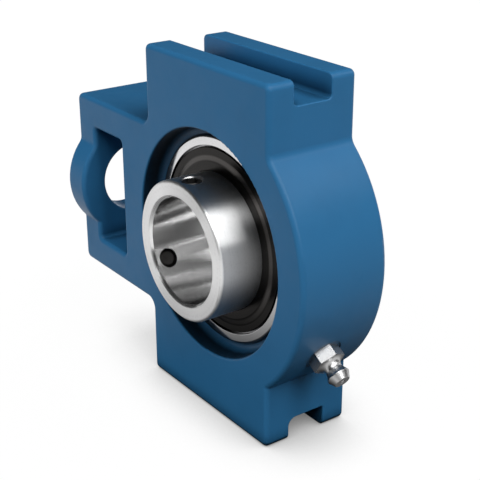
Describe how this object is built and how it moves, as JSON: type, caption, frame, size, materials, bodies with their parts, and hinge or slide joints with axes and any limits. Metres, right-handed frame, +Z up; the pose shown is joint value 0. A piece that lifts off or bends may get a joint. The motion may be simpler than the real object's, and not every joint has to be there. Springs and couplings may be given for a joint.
{
  "type": "take up bearing unit",
  "caption": "Take-up ball bearing unit: cast housing with guide grooves, nut window and screw eye, carrying a swivelling insert bearing locked to the shaft by set screws.",
  "frame": {"origin": "centre of the bearing on the shaft axis, midway between the housing's front and back faces", "axes": "Y along the shaft, with the long end of the inner ring to -Y; +X away from the adjusting screw's end; +Z up, with the unit standing on its lower guide rails"},
  "size_m": [0.116, 0.0412, 0.102],
  "materials": {
    "housing_paint": "satin blue enamel over a fine cast surface",
    "ring_steel": "ground and honed bearing steel",
    "ball_steel": "polished ball",
    "cage_plastic": "natural glass-filled polyamide",
    "seal_steel": "cold-rolled sheet",
    "seal_rubber": "nitrile rubber",
    "flinger_steel": "black-finished pressed sheet, semi-gloss",
    "black_oxide": "black oxide",
    "nipple_steel": "bright zinc-plated turned steel",
    "spring_steel": "drawn spring wire"
  },
  "bodies": {
    "housing": {"housing": "housing_paint", "grease_nipple": "nipple_steel", "nipple_spring": "spring_steel"},
    "insert": {"outer_ring": "ring_steel", "front_seal_plate": "seal_steel", "back_seal_plate": "seal_steel", "front_seal_lip": "seal_rubber", "back_seal_lip": "seal_rubber"},
    "rotor": {"inner_ring": "ring_steel", "front_flinger": "flinger_steel", "back_flinger": "flinger_steel"},
    "cage": {"ball_cage": "cage_plastic"},
    "set_screw_1": {"set_screw_1": "black_oxide"},
    "set_screw_2": {"set_screw_2": "black_oxide"},
    "valve_ball": {"nipple_ball": "ball_steel"},
    "ball_1": {"ball_1": "ball_steel"},
    "ball_2": {"ball_2": "ball_steel"},
    "ball_3": {"ball_3": "ball_steel"},
    "ball_4": {"ball_4": "ball_steel"},
    "ball_5": {"ball_5": "ball_steel"},
    "ball_6": {"ball_6": "ball_steel"},
    "ball_7": {"ball_7": "ball_steel"},
    "ball_8": {"ball_8": "ball_steel"},
    "ball_9": {"ball_9": "ball_steel"}
  },
  "joints": [
    {"name": "insert_swivel", "type": "hinge", "parent": "housing", "child": "insert", "pos_m": [0, 0, 0], "axis": [0, 0, 1], "range_deg": [-2, 2]},
    {"name": "shaft_spin", "type": "hinge", "parent": "insert", "child": "rotor", "pos_m": [0, 0, 0], "axis": [0, 1, 0], "continuous": true},
    {"name": "cage_orbit", "type": "hinge", "parent": "insert", "child": "cage", "pos_m": [0, 0, 0], "axis": [0, 1, 0], "continuous": true},
    {"name": "ball_1_spin", "type": "hinge", "parent": "cage", "child": "ball_1", "pos_m": [0, 0, 0.023], "axis": [0, 1, 0], "continuous": true},
    {"name": "ball_2_spin", "type": "hinge", "parent": "cage", "child": "ball_2", "pos_m": [-0.01478, 0, 0.01762], "axis": [0, 1, 0], "continuous": true},
    {"name": "ball_3_spin", "type": "hinge", "parent": "cage", "child": "ball_3", "pos_m": [-0.02265, 0, 0.00399], "axis": [0, 1, 0], "continuous": true},
    {"name": "ball_4_spin", "type": "hinge", "parent": "cage", "child": "ball_4", "pos_m": [-0.01992, 0, -0.0115], "axis": [0, 1, 0], "continuous": true},
    {"name": "ball_5_spin", "type": "hinge", "parent": "cage", "child": "ball_5", "pos_m": [-0.00787, 0, -0.02161], "axis": [0, 1, 0], "continuous": true},
    {"name": "ball_6_spin", "type": "hinge", "parent": "cage", "child": "ball_6", "pos_m": [0.00787, 0, -0.02161], "axis": [0, 1, 0], "continuous": true},
    {"name": "ball_7_spin", "type": "hinge", "parent": "cage", "child": "ball_7", "pos_m": [0.01992, 0, -0.0115], "axis": [0, 1, 0], "continuous": true},
    {"name": "ball_8_spin", "type": "hinge", "parent": "cage", "child": "ball_8", "pos_m": [0.02265, 0, 0.00399], "axis": [0, 1, 0], "continuous": true},
    {"name": "ball_9_spin", "type": "hinge", "parent": "cage", "child": "ball_9", "pos_m": [0.01478, 0, 0.01762], "axis": [0, 1, 0], "continuous": true},
    {"name": "set_screw_1_advance", "type": "slide", "parent": "rotor", "child": "set_screw_1", "axis": [0, 0, -1], "range_m": [-0.0006, 0.0003]},
    {"name": "set_screw_2_advance", "type": "slide", "parent": "rotor", "child": "set_screw_2", "axis": [0.866, 0, 0.5], "range_m": [-0.0006, 0.0003]},
    {"name": "nipple_valve", "type": "slide", "parent": "housing", "child": "valve_ball", "axis": [-0.8616, 0, 0.5075], "range_m": [0, 0.0006], "stiffness_N_per_m": 150, "springref_m": -0.001, "deforming": ["nipple_spring"]}
  ],
  "couplings": [
    {"joint": "cage_orbit", "follows": "shaft_spin", "ratio": 0.39647},
    {"joint": "ball_1_spin", "follows": "shaft_spin", "ratio": -2.3112},
    {"joint": "ball_2_spin", "follows": "shaft_spin", "ratio": -2.3112},
    {"joint": "ball_3_spin", "follows": "shaft_spin", "ratio": -2.3112},
    {"joint": "ball_4_spin", "follows": "shaft_spin", "ratio": -2.3112},
    {"joint": "ball_5_spin", "follows": "shaft_spin", "ratio": -2.3112},
    {"joint": "ball_6_spin", "follows": "shaft_spin", "ratio": -2.3112},
    {"joint": "ball_7_spin", "follows": "shaft_spin", "ratio": -2.3112},
    {"joint": "ball_8_spin", "follows": "shaft_spin", "ratio": -2.3112},
    {"joint": "ball_9_spin", "follows": "shaft_spin", "ratio": -2.3112}
  ]
}
